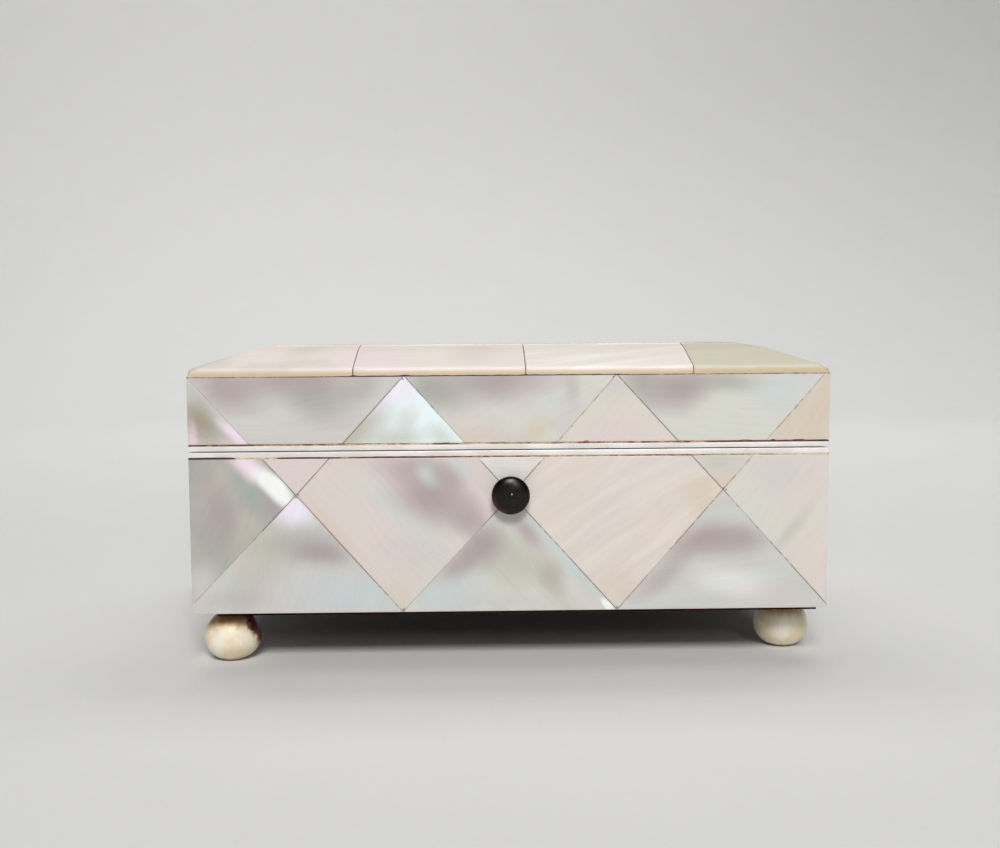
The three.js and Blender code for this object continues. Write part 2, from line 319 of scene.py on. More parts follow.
pearlFinish = {
    "roughness": 0.24,
    "seedStep": 7.3,  # mm between the slices of noise that two seeds take
    "bandScale": (0.05, 0.42, 1.0),  # waves for each mm along and across the growth lines
    "lineScale": (0.15, 3.2, 1.0),
    "cloudScale": (0.085, 0.085, 1.0),
    "wanderScale": (0.11, 0.11, 1.0),
    "rippleScale": (0.15, 0.15, 1.0),
    "warp": (2.6, 2.6, 0.0),  # mm that the growth lines wander
    "patchWarp": (1.8, 1.8, 0.0),  # and the borders of the patches
    "patchEdge": (0.3, 1.5),  # where a patch starts to fade and is gone, in shares of its size
    "crispEdge": (0.7, 1.0),
    "lineContrast": 0.024,
    # glow sets the strength of a painted iridescent sheen
    "glow": 0.025,  # how far pink and green part from each other
}


def pearl(name, across, up, look):
    # clouds between two tones, growth bands of a third, patches laid over them, then fine lines and glue
    shader = Shader(name)
    here = shader.place()
    depth = look["seed"] * pearlFinish["seedStep"]
    flat = {0: shader.axis(here, across), 1: shader.axis(here, up), 2: depth}
    flat = shader.node("CombineXYZ", values=flat)
    wander = shader.noise(flat, pearlFinish["wanderScale"], out="Color")
    ripple = shader.noise(flat, pearlFinish["rippleScale"], detail=1.5, rough=0.4, out="Color")
    bent = shader.warped(flat, wander, pearlFinish["warp"])
    near = shader.warped(flat, ripple, pearlFinish["patchWarp"])
    turn = math.radians(look["turn"])
    turned = shader.node("Mapping", values={"Vector": bent, "Rotation": (0.0, 0.0, -turn)})
    along, over, deep = pearlFinish["bandScale"]
    bandScale = (along, over * look.get("bandScale", 1.0), deep)
    bands = shader.noise(turned, bandScale, rough=0.55)
    lines = shader.noise(turned, pearlFinish["lineScale"], rough=0.6)
    cloud = shader.noise(bent, pearlFinish["cloudScale"], bend=0.8)
    base, second, third = (tones[tone] for tone in look["tones"])
    colour = shader.over(base, second, cloud, 0.36, 0.64)
    colour = shader.blend(shader.ease(bands, 0.42, 0.72) * look["bands"], colour, third)
    for x, y, long, wide, angle, tone, share, core in [*look.get("patches", ()), *look.get("dots", ())]:
        mapped = shader.node("Mapping", {"vector_type": "TEXTURE"}, {
            "Vector": near,
            "Location": (x, y, depth),
            "Rotation": (0.0, 0.0, math.radians(angle)),
            "Scale": (long, wide, 1000.0),
        })
        away = shader.vector("LENGTH", mapped, out="Value")
        inner, outer = pearlFinish["crispEdge" if tone in ("white", "glue") else "patchEdge"]
        colour = shader.blend(shader.ease(away, core * inner, outer, share, 0.0), colour, tones[tone])
    # painted iridescent sheen: tinted pink where bands and clouds are low and green where they are high
    shimmer = shader.ease(bands + cloud, 0.75, 1.25)
    glow = pearlFinish["glow"] * look.get("glow", 1.0)
    pinkLight = (1.0 + glow * 0.6, 1.0 - glow, 1.0 + glow * 0.4, 1.0)
    greenLight = (1.0 - glow, 1.0 + glow * 0.5, 1.0 - glow * 0.1, 1.0)
    colour = shader.blend(1.0, colour, shader.blend(shimmer, pinkLight, greenLight), "MULTIPLY")
    dark, bright = ((1.0 + side * pearlFinish["lineContrast"],) * 3 + (1.0,) for side in (-1, 1))
    colour = shader.blend(1.0, colour, shader.over(dark, bright, lines, 0.25, 0.75), "MULTIPLY")
    if "edge" in look:
        height = shader.axis(here, (0, 0, 1))
        low, high = look["edge"]
        colour = shader.blend(shader.ease(height, low, high, 0.9, 0.0), colour, tones["tan"])
    joint = shader.node("Attribute", {"attribute_name": "joint"}, out="Fac")
    patchy = shader.noise(here, 1.3)
    stretch = shader.noise(here, 0.07, detail=1.0)
    age = shader.ease(patchy + stretch * 1.4, 1.08, 1.34)  # long stretches of a joint are dark, others pale
    glueTone = shader.blend(age, tones["paleGlue"], tones["glue"])
    colour = shader.blend((joint * (0.4 + age * 0.5)).smaller(1.0), colour, glueTone)
    return shader.finish({
        "Base Color": colour,
        "Roughness": look.get("rough", pearlFinish["roughness"]) + bands * 0.12 + joint * 0.4,
        "Normal": shader.bump(lines * 0.35 + bands, 0.12, 0.00008),
        "Coat Weight": look.get("coat", 0.25),
        "Coat Roughness": 0.14,
        "IOR": 1.53,
    })


# Flat tiles

tileShape = {
    # depth behind the face, in from a joint, in from a free edge, share of glue at a joint
    "rings": [
        (0.98, 0.03, 0.03, 1.0),
        (0.3, -0.072, 0.0, 1.0),
        (0.035, -0.07, 0.0, 1.0),
        (0.025, -0.05, 0.0, 0.8),
        (0.01, -0.03, 0.02, 0.3),
        (0.0, 0.0, 0.06, 0.12),
        (0.0, 0.18, 0.3, 0.0),
    ],
    "edgeSteps": 6,
    "innerSteps": 4,
    "tilt": 0.0008,  # mm for each mm, at most
    "sink": 0.012,  # below the solid's face
}


def outlinesOf(node, side):
    # the convex outlines of a node's flat tiles: its outermost triangles, grouped by shared corners
    origin, across, up, out = planeOf(side)
    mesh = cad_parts[node].data
    places = np.empty(len(mesh.vertices) * 3)
    mesh.vertices.foreach_get("co", places)
    mesh.calc_loop_triangles()
    corners = np.empty(len(mesh.loop_triangles) * 3, np.int32)
    mesh.loop_triangles.foreach_get("vertices", corners)
    triangles = places.reshape(-1, 3)[corners.reshape(-1, 3)] / mm
    height = triangles @ out
    outer = triangles[(height > height.max() - 0.005).all(axis=1)]
    flat = np.stack([outer @ across, outer @ up], -1)
    points, which = np.unique(np.round(flat.reshape(-1, 2), 3), axis=0, return_inverse=True)
    which = which.reshape(-1, 3)
    group = np.arange(len(points))
    for _ in range(len(points)):
        least = group[which].min(axis=1)
        before = group.copy()
        np.minimum.at(group, which, least[:, None])
        if (before == group).all():
            break
    outlines = []
    for label in np.unique(group):
        ring = points[group == label]
        middle = ring.mean(0)
        ring = ring[np.argsort(np.arctan2(*(ring - middle).T[::-1]))]
        before, after = ring - np.roll(ring, 1, axis=0), np.roll(ring, -1, axis=0) - ring
        bend = before[:, 0] * after[:, 1] - before[:, 1] * after[:, 0]
        outlines.append(ring[bend > 0.01 * np.hypot(*before.T) * np.hypot(*after.T)])
    return outlines


def tileSkin(outline, bounds, origin, across, up, out, draw):
    # each ring is the outline with its edges moved in, and crosses where they meet
    after = np.roll(outline, -1, axis=0) - outline
    normal = np.stack([-after[:, 1], after[:, 0]], -1) / np.hypot(*after.T)[:, None]
    offset = (normal * outline).sum(1)
    low, high = bounds
    ends = np.stack([outline, np.roll(outline, -1, axis=0)])
    free = (np.abs(ends - low) < 0.02).all(0).any(1) | (np.abs(ends - high) < 0.02).all(0).any(1)
    depth, atJoint, atFree, glue = np.array(tileShape["rings"]).T
    inset = np.where(free, atFree[:, None], atJoint[:, None])
    lines = np.stack([np.roll(normal, 1, axis=0), normal], 1)
    sums = np.stack([np.roll(offset + inset, 1, axis=1), offset + inset], -1)
    corners = np.linalg.solve(lines[None], sums[..., None])[..., 0]
    share = np.arange(tileShape["edgeSteps"]) / tileShape["edgeSteps"]
    span = np.roll(corners, -1, axis=1) - corners
    flat = (corners[:, :, None] + span[:, :, None] * share[:, None]).reshape(len(depth), -1, 2)
    inner = (1 - np.arange(1, tileShape["innerSteps"]) / tileShape["innerSteps"])[:, None, None]
    middle = outline.mean(0)
    flat = np.concatenate([flat, middle + inner * (flat[-1] - middle)])
    depth = np.concatenate([depth, np.zeros(len(inner))])
    tilt = np.array([draw.uniform(-1, 1), draw.uniform(-1, 1)]) * tileShape["tilt"]
    lean = ((flat - middle) @ tilt + tileShape["sink"]) * (depth < 0.3)[:, None]
    deep = np.maximum(depth[:, None] + lean, 0.0)
    rings = (np.array(origin, float) + flat[..., :1] * across + flat[..., 1:] * up - deep[..., None] * out)
    edge = np.where(free, 0.0, 1.0)
    cornerGlue = np.maximum(edge, np.roll(edge, 1))
    along = cornerGlue[:, None] * (share == 0) + edge[:, None] * (share > 0)
    brown = np.concatenate([glue[:, None] * along.reshape(-1), np.zeros((len(inner), flat.shape[1]))])
    places, faces = ringSkin(rings)
    return places, faces, np.concatenate([brown.reshape(-1), [0.0, 0.0]])


def planeOf(side):
    # where each face of the box lies, and its directions: across, up and out
    x, y, z = np.eye(3)
    return {
        "front": ((0, frontY, 0), x, z, -y),
        "back": ((0, backY, 0), -x, z, y),
        "left": ((leftX, middleY, 0), -y, z, -x),
        "right": ((rightX, middleY, 0), y, z, x),
        "top": ((0, 0, lidFlat), x, y, z),
    }[side]


def flatTiles(node, side, bounds, looks, seed):
    # all the tiles of a node, as one piece that takes the looks in turn
    origin, across, up, out = planeOf(side)
    shift = np.array([np.dot(origin, across), 0.0])
    draw = random.Random(seed)
    materials = []
    places, joints, start = [], [], 0
    faces, faceMaterials = ([], [], []), ([], [], [])
    for i, outline in enumerate(outlinesOf(node, side)):
        material = looks[i % len(looks)]
        if material not in materials:
            materials.append(material)
        tile, tileFaces, joint = tileSkin(outline - shift, bounds - shift, origin, across, up, out, draw)
        for kind, corners in enumerate(tileFaces):
            faces[kind].append(corners + start)
            faceMaterials[kind].append(np.full(len(corners), materials.index(material)))
        places.append(tile)
        joints.append(joint)
        start += len(tile)
    faces, faceMaterials = ([np.concatenate(kind) for kind in lists] for lists in (faces, faceMaterials))
    name = f"{node}_tile" if len(looks) == 1 else f"{node}_tiles"
    piece = newPiece(name, np.concatenate(places), faces, materials, [node], faceMaterials)
    addAttribute(piece, "joint", np.concatenate(joints))


# By band and number. Patches: across, up, half length, half width, turn, tone, share and the part that is
# solid. Millimetres and degrees, across from the box's middle and up from the table.
frontLooks = {
    "lid 1": {
        "tones": ("silver", "silver", "smoke"), "turn": -40, "bands": 0.25,
        "patches": [
            (-40.4, 32.4, 3.6, 2.4, -50, "olive", 1.0, 0.2),
            # the long rose band is painted sheen, the upper end of the bright diagonal that crosses base 1
            (-35.9, 30.8, 2.9, 0.95, -46, "rose", 1.0, 0.45), (-41.6, 30.4, 0.7, 2.0, 0, "rose", 0.5, 0.1),
        ],
    },
    "lid 2": {
        "tones": ("silver", "silver", "shell"), "turn": 8, "bands": 0.3,
        "patches": [
            (-36.8, 36.8, 4.6, 2.8, -30, "mauve", 0.85, 0.15),
            (-28.5, 37.6, 9.0, 2.6, -4, "mauve", 0.9, 0.15),
            (-24.8, 35.4, 4.6, 3.0, -20, "smoke", 0.8, 0.15),
            (-25.6, 36.9, 2.6, 1.4, 20, "mauve", 0.5, 0.2), (-19.4, 36.8, 3.4, 2.0, 40, "mauve", 0.5, 0.1),
        ],
    },
    "lid 3": {
        "tones": ("ice", "ice", "white"), "turn": 60, "bands": 0.35, "glow": 0.6,
        "patches": [
            (-13.8, 37.4, 2.2, 2.6, 0, "lilac", 0.8, 0.2), (-17.0, 34.6, 3.6, 1.1, 48, "lilac", 0.9, 0.2),
            (-20.2, 31.0, 5.6, 2.5, 34, "khaki", 1.0, 0.25),
            (-15.0, 30.2, 4.0, 1.6, 6, "khaki", 0.7, 0.15),
            (-13.4, 32.6, 1.5, 2.4, -30, "silver", 0.6, 0.1),
            (-9.0, 30.2, 2.4, 1.6, -45, "mint", 0.8, 0.3),
        ],
    },
    "lid 4": {
        "tones": ("silver", "pale", "shell"), "turn": 30, "bands": 0.35,
        "patches": [
            (-9.8, 36.8, 4.6, 3.0, -25, "smoke", 0.95, 0.2), (-2.5, 37.6, 7.4, 2.6, 0, "mauve", 0.9, 0.15),
            (-5.6, 31.4, 4.2, 1.8, -10, "shell", 0.7, 0.2), (-4.2, 30.4, 4.0, 1.4, 0, "peach", 0.7, 0.2),
            (3.8, 31.2, 2.8, 1.5, 45, "peach", 0.8, 0.2), (5.6, 34.6, 3.2, 2.2, 60, "mint", 0.5, 0.2),
            (8.1, 37.2, 1.2, 2.2, 0, "umber", 0.3, 0.1),
        ],
    },
    "lid 5": {
        "tones": ("shell", "cream", "shell"), "turn": 50, "bands": 0.3,
        "patches": [(14.0, 37.6, 3.2, 3.0, 0, "silver", 0.6, 0.1)],
    },
    "lid 6": {
        "tones": ("pale", "pale", "silver"), "turn": -6, "bands": 0.3,
        "patches": [
            (17.4, 37.2, 3.4, 2.8, -40, "smoke", 0.9, 0.2), (22.4, 36.8, 5.0, 3.0, 15, "mauve", 1.0, 0.3),
            (28.6, 37.4, 5.4, 1.7, 0, "smoke", 0.7, 0.1), (36.0, 36.4, 4.5, 3.0, 30, "frost", 0.7, 0.2),
        ],
    },
    "lid 7": {
        "tones": ("shell", "peach", "shell"), "turn": 60, "bands": 0.4,
        "patches": [(40.5, 35.5, 1.8, 2.6, 0, "peach", 0.5, 0.2)],
    },
    "base 1": {
        "tones": ("khaki", "smoke", "smoke"), "turn": 60, "bands": 0.3,
        "patches": [
            (-38.0, 20.4, 2.4, 4.6, 8, "mauve", 0.95, 0.15),
            (-35.0, 23.8, 4.4, 1.3, -58, "sage", 0.85, 0.15), (-38.5, 14.5, 3.0, 2.6, 0, "sage", 0.3, 0.1),
            (-40.6, 10.8, 2.8, 3.6, 0, "silver", 0.9, 0.2),
            (-31.6, 21.4, 1.8, 1.2, -45, "mauve", 0.9, 0.2),
            # painted sheen: the rose band and the white band below it form one bright diagonal of lustre,
            # white where it is strongest
            (-34.2, 26.9, 3.4, 1.5, -46, "rose", 1.0, 0.4),
            (-31.1, 24.0, 4.6, 1.7, -46, "white", 1.0, 0.6),
        ],
    },
    "base 2": {"tones": ("shell", "silver", "shell"), "turn": 30, "bands": 0.3},
    "base 3": {
        "tones": ("silver", "silver", "mint"), "turn": 70, "bands": 0.4,
        "patches": [
            (-28.2, 21.4, 2.9, 2.7, 0, "lilac", 1.0, 0.35), (-32.2, 16.0, 3.6, 4.2, 30, "khaki", 0.8, 0.2),
            (-34.6, 11.4, 3.2, 3.0, 30, "khaki", 0.6, 0.1),
            (-26.2, 15.8, 5.4, 2.6, -12, "smoke", 0.85, 0.15),
            (-25.4, 14.9, 3.2, 1.2, -6, "mauve", 0.95, 0.2), (-36.6, 9.0, 3.8, 1.5, 0, "mauve", 0.35, 0.1),
            (-22.0, 9.6, 8.0, 3.0, -5, "frost", 0.9, 0.35),
        ],
    },
    "base 4": {
        "tones": ("shell", "shell", "cream"), "turn": -48, "bands": 0.4,
        "patches": [
            (-24.6, 18.8, 6.6, 1.8, -48, "peach", 0.7, 0.2),
            (-14.4, 20.6, 7.4, 1.8, -45, "frost", 0.55, 0.15),
            (-12.6, 15.2, 3.6, 3.0, -30, "silver", 0.5, 0.2),
            (-12.4, 26.4, 6.4, 2.2, -8, "mauve", 0.7, 0.15),
            (-10.4, 22.6, 5.6, 3.4, -28, "mauve", 1.0, 0.25),
            (-5.4, 19.2, 4.0, 2.4, -48, "mauve", 0.8, 0.2),
            (-10.8, 25.4, 1.9, 1.2, -40, "frost", 0.8, 0.15),
            (-6.6, 26.4, 1.8, 1.3, -60, "frost", 0.7, 0.15),
            (-8.1, 24.6, 2.0, 1.6, -45, "mauve", 0.7, 0.15), (-15.0, 9.6, 2.2, 2.4, 0, "peach", 0.5, 0.2),
        ],
    },
    "base 5": {"tones": ("pale", "blush", "white"), "turn": 0, "bands": 0.2},
    "base 6": {
        "tones": ("silver", "pale", "khaki"), "turn": -52, "bands": 0.45,
        "patches": [
            (0.6, 13.6, 4.6, 3.6, 0, "khaki", 0.8, 0.2), (-3.8, 16.0, 4.0, 3.2, 35, "mauve", 1.0, 0.3),
            (-6.8, 13.4, 3.4, 1.6, 42, "mauve", 0.8, 0.2), (2.4, 17.6, 2.6, 1.4, -50, "mauve", 0.8, 0.2),
            (5.4, 11.8, 2.0, 2.9, 25, "umber", 0.5, 0.1), (6.6, 14.8, 7.0, 1.0, -49, "frost", 0.9, 0.2),
            (-8.6, 9.4, 5.4, 2.8, 15, "frost", 0.9, 0.35), (1.4, 8.2, 6.6, 1.2, 0, "silver", 0.6, 0.2),
            (12.9, 8.0, 1.3, 0.7, -48, "white", 1.0, 0.6),
        ],
    },
    "base 7": {
        "tones": ("cream", "shell", "blush"), "turn": 34, "bands": 0.5, "bandScale": 1.5,
        "glow": 0.5,
        "patches": [
            (25.4, 22.4, 2.6, 3.0, 45, "peach", 0.7, 0.15), (14.4, 10.4, 2.6, 3.0, 0, "peach", 0.5, 0.2),
        ],
    },
    "base 8": {
        "tones": ("pale", "pale", "cream"), "turn": 0, "bands": 0.3,
        "patches": [
            (27.8, 26.8, 3.5, 2.2, 0, "khaki", 0.5, 0.2), (28.1, 24.0, 1.6, 1.6, 0, "peach", 0.8, 0.2),
        ],
    },
    "base 9": {
        "tones": ("silver", "silver", "mint"), "turn": 10, "bands": 0.35,
        "patches": [
            (25.8, 16.4, 5.0, 2.4, 12, "mauve", 1.0, 0.3), (30.2, 16.4, 3.8, 2.0, -8, "mauve", 0.85, 0.2),
            (20.4, 12.2, 4.8, 1.8, 44, "mauve", 0.6, 0.15), (29.4, 10.8, 7.4, 3.0, -6, "white", 0.4, 0.3),
            (37.4, 8.6, 4.0, 1.5, -20, "silver", 0.7, 0.2),
        ],
    },
    "base 10": {
        "tones": ("shell", "pale", "cream"), "turn": 52, "bands": 0.6, "glow": 0.5,
        "patches": [
            (35.6, 25.6, 3.8, 3.0, 0, "silver", 0.6, 0.1),
            (40.2, 14.2, 2.6, 5.6, -20, "cream", 0.75, 0.15),
            (37.0, 17.4, 0.9, 4.2, -38, "umber", 0.25, 0.1),
        ],
    },
}


jointDots = {"size": 0.22, "lowSize": 0.44, "share": 0.7, "core": 0.3}  # glue where the joints meet


def makeFront():
    origin, across, up, out = planeOf("front")
    for name, look in frontLooks.items():
        band, number = name.split()
        node = f"front_{band}_pearl_{number}"
        seed = int(number) + (10 if band == "base" else 0)
        low, high = rowOf[band]
        corners = outlinesOf(node, "front")[0]
        atSide = np.abs(corners[:, 0]) > rightX - 1
        atEdging = np.abs(corners[:, 1] - baseEdgingLow[2]) < 2
        dots = []
        for x, z in corners[~atSide & ~atEdging]:
            size = jointDots["lowSize" if z < rowOf["base"][0] + 1 else "size"]
            dots.append((float(x), float(z), size, size, 0, "glue", jointDots["share"], jointDots["core"]))
        material = pearl(f"pearl_{band}_pearl_{number}", across, up, {**look, "seed": seed, "dots": dots})
        flatTiles(node, "front", np.array([[leftX, low], [rightX, high]]), [material], seed)


makeFront()
print("front tiles made")

hiddenTones = [
    ("silver", "mint", "cream"), ("cream", "peach", "shell"), ("silver", "smoke", "mauve"),
    ("shell", "cream", "white"), ("khaki", "silver", "peach"), ("mint", "silver", "white"),
]
hiddenSeeds = {"left": 31, "right": 37, "back": 41}


def hiddenPearls(name, across, up, seed, toneSets, **extra):
    # one pearl for each set of tones
    draw = random.Random(seed)
    made = []
    for i, toneSet in enumerate(toneSets):
        look = {
            "tones": toneSet,
            "turn": draw.uniform(-60, 60),
            "seed": draw.uniform(20, 60),
            "bands": draw.uniform(0.35, 0.6),
            "bandScale": draw.uniform(0.7, 1.2),
            "glow": draw.uniform(0.7, 1.3),
        }
        made.append(pearl(f"{name}_{i + 1}", across, up, {**look, **extra}))
    return made


def makeSides():
    for side, seed in hiddenSeeds.items():
        origin, across, up, out = planeOf(side)
        looks = hiddenPearls(f"pearl_{side}", across, up, seed, hiddenTones)
        for band in ("base", "lid"):
            node = f"{side}_{band}_pearl"
            low, high = boxOf(node)
            span = sorted([low @ across, high @ across])
            bounds = np.array([[span[0], low[2]], [span[1], high[2]]])
            first = 0 if band == "base" else 2
            order = [looks[(2 * i + first + i // 3) % len(looks)] for i in range(18)]  # then it repeats
            flatTiles(node, side, bounds, order, seed)


makeSides()
print("side and back tiles made")


# Bevelled lid

lidBevel = {
    "width": 8.9,  # of the slope
    "edgeHeight": 1.0,  # of the upright edge below it
    "edgeRound": 0.26,
    "crestRound": 3.2,
    "border": 9.9,  # how far inwards these tiles reach
    "pearl": 1.0,  # their thickness at the top
    "back": 1.1,  # and at the edge
    "joint": 0.05,
    "arris": 0.04,
    "sections": 30,
    "overlap": 0.03,  # how far a tile reaches past its node's ends, into the joints
    "cornerWear": 0.42,  # how far the lid's upper corners are rounded off
    "wearReach": 0.75,
    "wearDrop": 0.6,  # how much of it is downwards
}


def bevelLine():
    # straight up the edge, round to the slope, along it, and round to the flat top
    rise = lidFlat - lidEdge
    slope = (rise - lidBevel["edgeHeight"]) / lidBevel["width"]
    first, crest = lidBevel["edgeRound"], lidBevel["crestRound"]

    def curve(a, b, c, n):
        t = np.linspace(0, 1, n)[:, None]
        return (1 - t) ** 2 * np.array(a) + 2 * t * (1 - t) * np.array(b) + t ** 2 * np.array(c)

    edge = lidBevel["edgeHeight"]
    foot = curve((0, edge - first), (0, edge), (2 * first, edge + slope * 2 * first), 8)
    bend = curve(
        (lidBevel["width"] - crest, rise - slope * crest), (lidBevel["width"], rise),
        (lidBevel["width"] + crest, rise), 22,
    )
    bend = bend[bend[:, 0] < lidBevel["border"] - lidBevel["joint"]]
    last = [lidBevel["border"] - lidBevel["joint"], rise]
    return np.concatenate([[[0.0, 0.0], [0.0, 0.06], [0.0, edge - 1.6 * first]], foot, bend, [last]])


def underneath(line):
    # for each point of the outer line, one on the underside: along the flat foot, then the inner slope
    rise = lidFlat - lidEdge - lidBevel["pearl"]
    corner, crest = lidBevel["back"], lidBevel["width"]
    share = np.linspace(0, 1, len(line))
    inward = np.maximum(corner * 0.3 + share * (lidBevel["border"] - lidBevel["joint"] - corner * 0.3), 0)
    height = np.interp(inward, [0, corner, crest, lidBevel["border"]], [0, 0, rise, rise])
    return np.stack([inward, height], -1)


def borderTile(node, side, material):
    origin, across, up, out = planeOf(side)
    low, high = boxOf(node)
    middle = float(np.dot(origin, across))
    start, end = sorted([float(low @ across) - middle, float(high @ across) - middle])
    half = (rightX - leftX) / 2 if side in ("front", "back") else (backY - frontY) / 2
    mitre = lidBevel["joint"] * math.sqrt(2)
    line = bevelLine()
    under = underneath(line)
    arris = lidBevel["arris"]
    span = end - start
    stations = np.concatenate([[0.0], np.linspace(arris, span - arris, lidBevel["sections"]), [span]])
    share = (stations / span)[:, None]

    def sheet(points, drop):
        # a tile ends along the mitre at a corner, and straight at a joint
        mitred = points[:, 0] + mitre
        straight = np.zeros(len(points))
        leftEnd = mitred - half if start < -half + 0.3 else straight + start - lidBevel["overlap"]
        rightEnd = half - mitred if end > half - 0.3 else straight + end + lidBevel["overlap"]
        length = leftEnd + share * (rightEnd - leftEnd)
        # worn most at the corner and at the top of the edge, evenly along both sides of the mitre
        worn = lidBevel["cornerWear"] * np.exp(-((half - np.abs(length)) / lidBevel["wearReach"]) ** 2)
        worn = worn * np.clip(points[:, 1] / lidBevel["edgeHeight"], 0, 1)
        length = length - np.sign(length) * worn
        inward = points[:, 0] + drop * 0.4 + worn
        height = points[:, 1] - drop - lidBevel["wearDrop"] * worn
        place = np.array(origin) * [1, 1, 0] + length[..., None] * across
        return place - inward[..., None] * out + (lidEdge + height)[..., None] * np.array([0, 0, 1.0])

    ends = np.isin(np.arange(len(stations)), [0, len(stations) - 1])[:, None]
    places, faces = slabSkin(sheet(line, ends * arris * (line[:, 1] > arris)), sheet(under, 0))
    piece = newPiece(f"{node}_tile", places, faces, [material], [node], sharpAngle=40)
    brown = np.zeros((len(stations), len(line)))
    # more glue low at the joints
    brown[[0, -1]] = np.where(line[:, 1] < lidBevel["edgeHeight"], 0.95, 0.35)
    brown[:, 0] = 0.7
    brown[:, -1] = 0.5
    addAttribute(piece, "joint", np.concatenate([brown.reshape(-1), np.ones(brown.size)]))


topLooks = [
    # of the front border, from the left
    {"tones": ("bright", "cream", "blush"), "turn": 6, "bands": 0.4},
    {
        "tones": ("blush", "bright", "bright"), "turn": 4, "bands": 0.3,
        "patches": [(-4.5, frontY + 5, 3.5, 4.5, 0, "cream", 0.6, 0.1)],
    },
    {"tones": ("bright", "bright", "white"), "turn": 14, "bands": 0.6, "bandScale": 1.4, "glow": 0.5},
    {"tones": ("straw", "straw", "cream"), "turn": 0, "bands": 0.25},
]


def makeLidTop():
    x, y, z = np.eye(3)
    edge = (lidEdge + 0.1, lidEdge + 0.95)
    plain = hiddenPearls("pearl_top", x, y, 61, [
        ("cream", "peach", "cream"), ("shell", "white", "cream"), ("straw", "cream", "straw"),
        ("white", "shell", "silver"), ("silver", "mint", "cream"),
    ], edge=edge, rough=0.38, coat=0.08)
    front = [
        pearl(f"top_pearl_{i}", x, y, {**look, "seed": 50 + i, "edge": edge, "rough": 0.34, "coat": 0.1})
        for i, look in enumerate(topLooks, 1)
    ]
    hidden = [(side, i) for side, count in (("back", 4), ("left", 2), ("right", 2)) for i in range(count)]
    for i, material in enumerate(front):
        borderTile(f"lid_front_border_pearl_{i + 1}", "front", material)
    for at, (side, i) in enumerate(hidden):
        borderTile(f"lid_{side}_border_pearl_{i + 1}", side, plain[at % len(plain)])
    nodes = sorted(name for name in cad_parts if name.startswith("lid_centre"))
    bounds = np.array([[-1000.0, -1000.0], [1000.0, 1000.0]])  # so no edge counts as a free one
    for i, node in enumerate(nodes):
        material = plain[(2 * i + 1) % len(plain)]
        flatTiles(node, "top", bounds, [material], 70 + i)


makeLidTop()
print("lid top made")


# White metal edging, and the glue that shows along it

edgingShape = {
    "depth": 2.2,
    "arris": 0.07,
    "stations": 240,  # on each side of the box
    "wave": 0.012,
    "cover": 0.06,  # how far a strip reaches over the glue beside it
    "roughness": 0.3,
}

glueLooks = {
    # age along the front, 0 pale to 1 dark, by place; then lumps: place, half length, height
    "lid_top_glue": {
        "below": lidEdge - 0.1, "above": lidEdge, "thin": 0.03,
        "age": [
            (-42, 0.6), (-36, 0.5), (-30, 0.55), (-27, 0.9), (-24, 0.5), (-21, 0.95), (6, 0.95), (15, 0.7),
            (24, 0.6), (34, 0.5), (42, 0.4),
        ],
        "lumps": [
            (-13.8, 0.5, 0.1), (14.0, 0.6, 0.12), (2.1, 0.3, 0.1), (-20.4, 0.4, 0.15), (24.05, 0.3, 0.08),
        ],
        "thick": (-20.6, 12.0, 0.07),
    },
    "lid_edging_glue": {
        "below": edgingHigh[2], "above": rowOf["lid"][0], "thin": -0.09,
        "age": [
            (-42, 0.75), (-36, 0.65), (-30, 0.4), (-24, 0.55), (-21, 0.3), (-12, 0.2), (-9, 0.75),
            (-6, 0.3),
            (8, 0.35), (10, 0.75), (12, 0.35), (17, 0.5), (25, 0.45), (27.5, 0.75), (33, 0.8), (42, 0.95),
        ],
        "lumps": [
            (-23.2, 0.35, 0.2), (-8.3, 0.7, 0.14), (-10.6, 0.4, 0.08), (10.0, 0.5, 0.26), (16.8, 0.4, 0.12),
            (18.2, 0.4, 0.12), (25.2, 0.3, 0.14), (31.0, 0.8, 0.1), (34.6, 0.3, 0.16), (38.0, 0.8, 0.12),
        ],
        "thick": (26.8, 41.9, 0.09),
    },
    "base_edging_glue": {
        "below": rowOf["base"][1], "above": baseEdgingLow[2], "thin": -0.06,
        "age": [
            (-42, 1.0), (-36.2, 1.0), (-35.7, 0.25), (-30.6, 0.2), (-30, 0.85), (-24.6, 0.9), (-22, 0.5),
            (-20, 0.85), (-10, 0.8), (-6, 0.6), (5, 0.5), (8, 0.35), (12, 0.5), (22, 0.5), (28, 0.4),
            (42, 0.15),
        ],
        "lumps": [(-39.0, 3.2, 0.07), (-27.0, 2.6, 0.06), (-15.6, 4.0, 0.06), (21.0, 2.5, 0.04)],
        "thick": (-42, -36.2, 0.04),
    },
}


def framePath(inward, up, count):
    # a section of (inwards, up) at each station round the box, turned at the corners along their mitres
    share = np.tile(np.arange(count) / count, 4)[:, None, None]
    corner = np.array([[leftX, frontY], [rightX, frontY], [rightX, backY], [leftX, backY]])
    sign = np.array([[1, 1], [-1, 1], [-1, -1], [1, -1]])
    side = np.repeat(np.arange(4), count)
    start = corner[side][:, None] + sign[side][:, None] * inward[..., None]
    side = (side + 1) % 4
    end = corner[side][:, None] + sign[side][:, None] * inward[..., None]
    flat = start + share * (end - start)
    return np.concatenate([flat, np.broadcast_to(up, flat.shape[:2])[..., None]], -1)


